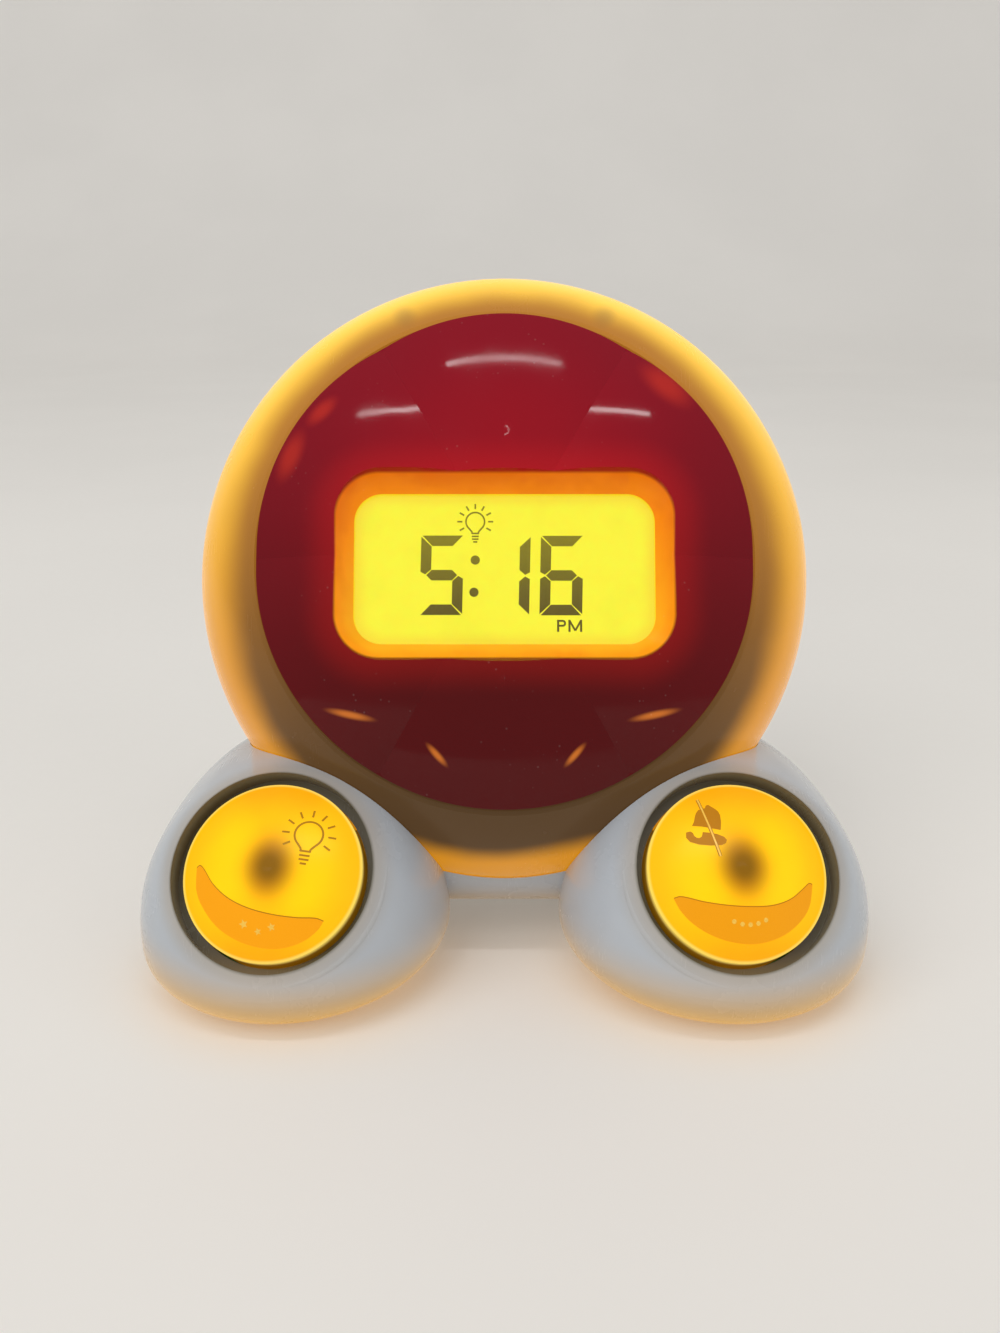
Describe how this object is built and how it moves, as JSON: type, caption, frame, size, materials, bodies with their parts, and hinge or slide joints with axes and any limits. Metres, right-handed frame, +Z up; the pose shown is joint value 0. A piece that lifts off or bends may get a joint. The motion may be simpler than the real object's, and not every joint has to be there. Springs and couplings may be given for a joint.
{
  "type": "kids alarm clock with night light",
  "caption": "Round-headed bedside alarm clock with a backlit display in a lobed face, a glowing ring and a push button on each of its two feet.",
  "frame": {"origin": "middle of the bounding box at the bottom of the rubber pads", "axes": "+X to the right seen from the front, +Y to the rear (the face looks towards -Y), +Z up"},
  "size_m": [0.1482, 0.108, 0.1358],
  "materials": {
    "ring_plastic": "translucent white, glossy",
    "rear_plastic": "satin white",
    "base_plastic": "glossy white",
    "face_plastic": "translucent red, glossy",
    "clear_lens": "clear",
    "lcd_glass": "flat display glass",
    "light_guide": "frosted",
    "black_plastic": "matt",
    "contact_rubber": "soft",
    "circuit_board": "satin",
    "white_board": "satin",
    "amber_led": "clear amber",
    "bright_steel": "bright",
    "spring_brass": "bright",
    "grey_keys": "fine texture",
    "cell_wrap": "plain sleeve",
    "pad_rubber": "soft",
    "button_plastic": "translucent amber, glossy",
    "cable_sleeve": "soft"
  },
  "bodies": {
    "case": {"front_housing": "ring_plastic", "face_cover": "face_plastic", "display_lens": "clear_lens", "lcd_panel": "lcd_glass", "lcd_backlight": "light_guide", "lcd_holder": "black_plastic", "lcd_contact_strips": "contact_rubber", "main_board": "circuit_board", "main_board_parts": "black_plastic", "main_board_screws": "bright_steel", "light_ring_board": "white_board", "night_light_leds": "amber_led", "light_ring_screws": "bright_steel", "rear_housing": "rear_plastic", "speaker": "black_plastic", "speaker_clamp": "bright_steel", "set_board": "circuit_board", "set_key_switches": "black_plastic", "slide_switches": "bright_steel", "rear_small_screws": "bright_steel", "battery_cells": "cell_wrap", "battery_contacts": "spring_brass", "battery_springs": "bright_steel", "face_screws": "bright_steel", "housing_screws": "bright_steel", "base_shell": "base_plastic", "left_base_plate": "base_plastic", "right_base_plate": "base_plastic", "left_foot_pads": "pad_rubber", "right_foot_pads": "pad_rubber", "left_button_board": "circuit_board", "right_button_board": "circuit_board", "left_key_switch": "black_plastic", "right_key_switch": "black_plastic", "left_button_leds": "amber_led", "right_button_leds": "amber_led", "left_board_screws": "bright_steel", "right_board_screws": "bright_steel", "base_plate_screws": "bright_steel", "neck_screws": "bright_steel", "foot_cables": "cable_sleeve"},
    "left_button": {"left_button": "button_plastic"},
    "right_button": {"right_button": "button_plastic"},
    "time_button": {"time_button": "grey_keys"},
    "alarm_button": {"alarm_button": "grey_keys"},
    "wake_button": {"wake_button": "grey_keys"},
    "down_button": {"down_button": "grey_keys"},
    "up_button": {"up_button": "grey_keys"},
    "alarm_slide_knob": {"alarm_slide_knob": "grey_keys"},
    "light_slide_knob": {"light_slide_knob": "grey_keys"},
    "battery_door": {"battery_door": "rear_plastic", "battery_door_screw": "bright_steel"}
  },
  "joints": [
    {"name": "left_button_press", "type": "slide", "parent": "case", "child": "left_button", "axis": [0.0655, 0.7344, -0.6756], "range_m": [0, 0.0012], "stiffness_N_per_m": 1500, "springref_m": -0.0002},
    {"name": "right_button_press", "type": "slide", "parent": "case", "child": "right_button", "axis": [-0.0655, 0.7344, -0.6756], "range_m": [0, 0.0012], "stiffness_N_per_m": 1500, "springref_m": -0.0002},
    {"name": "time_button_press", "type": "slide", "parent": "case", "child": "time_button", "axis": [0, -0.9128, 0.4083], "range_m": [0, 0.0008], "stiffness_N_per_m": 800, "springref_m": -0.0002},
    {"name": "alarm_button_press", "type": "slide", "parent": "case", "child": "alarm_button", "axis": [0, -0.9128, 0.4083], "range_m": [0, 0.0008], "stiffness_N_per_m": 800, "springref_m": -0.0002},
    {"name": "wake_button_press", "type": "slide", "parent": "case", "child": "wake_button", "axis": [0, -0.9128, 0.4083], "range_m": [0, 0.0008], "stiffness_N_per_m": 800, "springref_m": -0.0002},
    {"name": "down_button_press", "type": "slide", "parent": "case", "child": "down_button", "axis": [0, -0.9128, 0.4083], "range_m": [0, 0.0008], "stiffness_N_per_m": 800, "springref_m": -0.0002},
    {"name": "up_button_press", "type": "slide", "parent": "case", "child": "up_button", "axis": [0, -0.9128, 0.4083], "range_m": [0, 0.0008], "stiffness_N_per_m": 800, "springref_m": -0.0002},
    {"name": "alarm_slide", "type": "slide", "parent": "case", "child": "alarm_slide_knob", "axis": [0, 0.4083, 0.9128], "range_m": [-0.002, 0.002]},
    {"name": "light_slide", "type": "slide", "parent": "case", "child": "light_slide_knob", "axis": [0, 0.4083, 0.9128], "range_m": [-0.002, 0.002]},
    {"name": "battery_door_lift", "type": "slide", "parent": "case", "child": "battery_door", "axis": [0, 0.9128, -0.4083], "range_m": [0, 0.03]}
  ]
}
